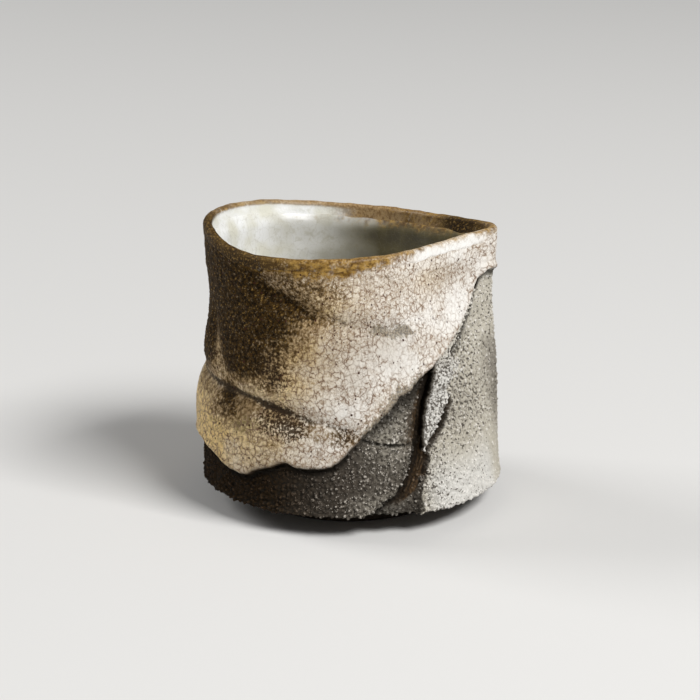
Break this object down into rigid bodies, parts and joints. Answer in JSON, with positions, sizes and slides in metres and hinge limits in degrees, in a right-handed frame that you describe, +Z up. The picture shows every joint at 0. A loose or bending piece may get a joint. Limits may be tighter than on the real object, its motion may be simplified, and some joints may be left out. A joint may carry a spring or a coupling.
{
  "type": "sake cup",
  "caption": "Hand-built stoneware sake cup with a mouth pinched to a corner, a lapped clay seam, a thick white crackle glaze over bare clay and a small foot ring.",
  "frame": {"origin": "centre of the cup's box, on the plane that the foot ring stands on", "axes": "+Z up, +X towards the pinched corner of the mouth, -Y towards the side with the lapped seam"},
  "size_m": [0.0636, 0.0616, 0.0586],
  "materials": {
    "stoneware": "unglazed, gritty and matt",
    "body_glaze": "thick satin crackle glaze",
    "lip_glaze": "thin amber gloss",
    "lining_glaze": "clear pale gloss"
  },
  "bodies": {
    "root": {"wall_slab": "stoneware", "lap_flap": "stoneware", "floor_disc": "stoneware", "foot_ring": "stoneware", "outer_glaze": "body_glaze", "lip_glaze": "lip_glaze", "inner_glaze": "lining_glaze"}
  },
  "joints": []
}
